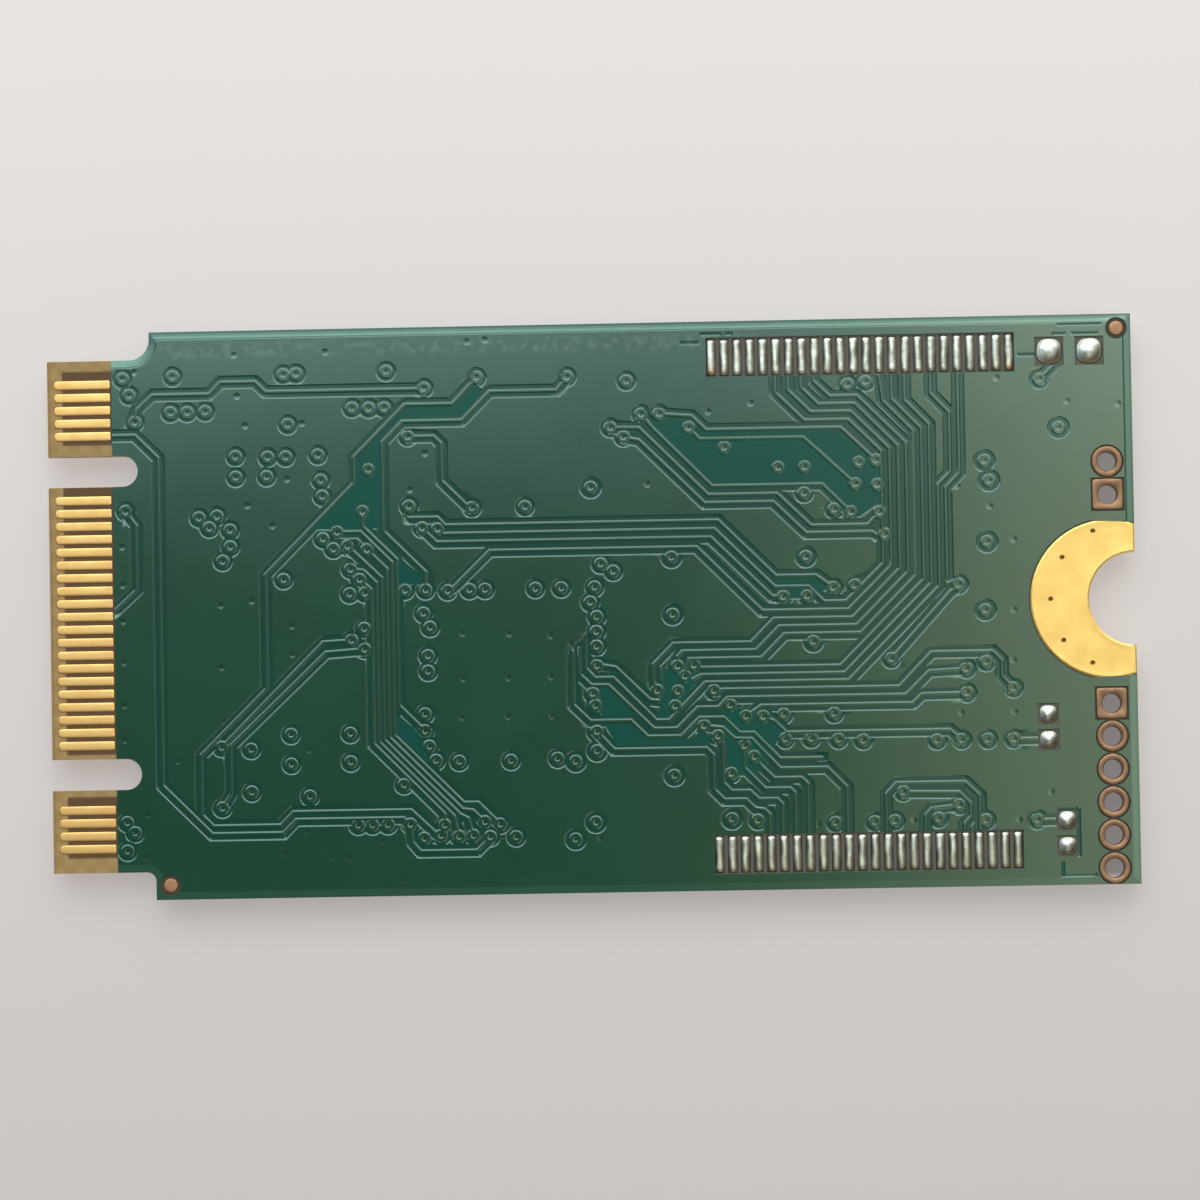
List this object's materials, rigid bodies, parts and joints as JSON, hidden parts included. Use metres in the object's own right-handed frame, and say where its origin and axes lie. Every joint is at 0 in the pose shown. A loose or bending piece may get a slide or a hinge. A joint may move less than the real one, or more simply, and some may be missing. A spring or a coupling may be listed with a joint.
{
  "type": "m.2 solid state drive card",
  "caption": "Small solid state drive card with a keyed gold edge connector at one end, a half-round screw notch at the other, tracks under green film on its plain side and chips beneath.",
  "frame": {"origin": "middle of the surface that the card's chips rest on, below the middle of the board", "axes": "+X from the connector edge to the screw end, +Y across the card, +Z out of the plain side"},
  "size_m": [0.042, 0.022, 0.0019],
  "materials": {
    "laminate": "woven glass and resin, cut edges",
    "mask": "green lacquer film over copper",
    "gold": "gold plated",
    "copper": "bare copper, slightly dull",
    "solder": "bright solder",
    "package": "black moulded epoxy",
    "lead": "tinned metal",
    "ceramic": "pale ceramic",
    "lid": "plated metal lid",
    "ferrite": "pressed ferrite",
    "capacitor": "brown ceramic",
    "resistor": "dark glaze"
  },
  "bodies": {
    "root": {"circuit_board": "laminate", "plain_side_mask": "mask", "chip_side_mask": "mask", "plain_side_traces": "mask", "plain_side_contacts": "gold", "chip_side_contacts": "gold", "screw_land": "gold", "header_eyelets": "copper", "corner_marks": "copper", "spare_flash_pads_upper": "solder", "spare_flash_pads_lower": "solder", "spare_part_pads": "solder", "flash_chip_body": "package", "flash_chip_leads": "lead", "controller_body": "package", "controller_terminals": "solder", "crystal_base": "ceramic", "crystal_lid": "lid", "inductor_core": "ferrite", "inductor_terminals": "solder", "regulator_bodies": "package", "regulator_leads": "lead", "capacitor_bodies": "capacitor", "capacitor_ends": "solder", "resistor_bodies": "resistor", "resistor_ends": "solder"}
  },
  "joints": []
}
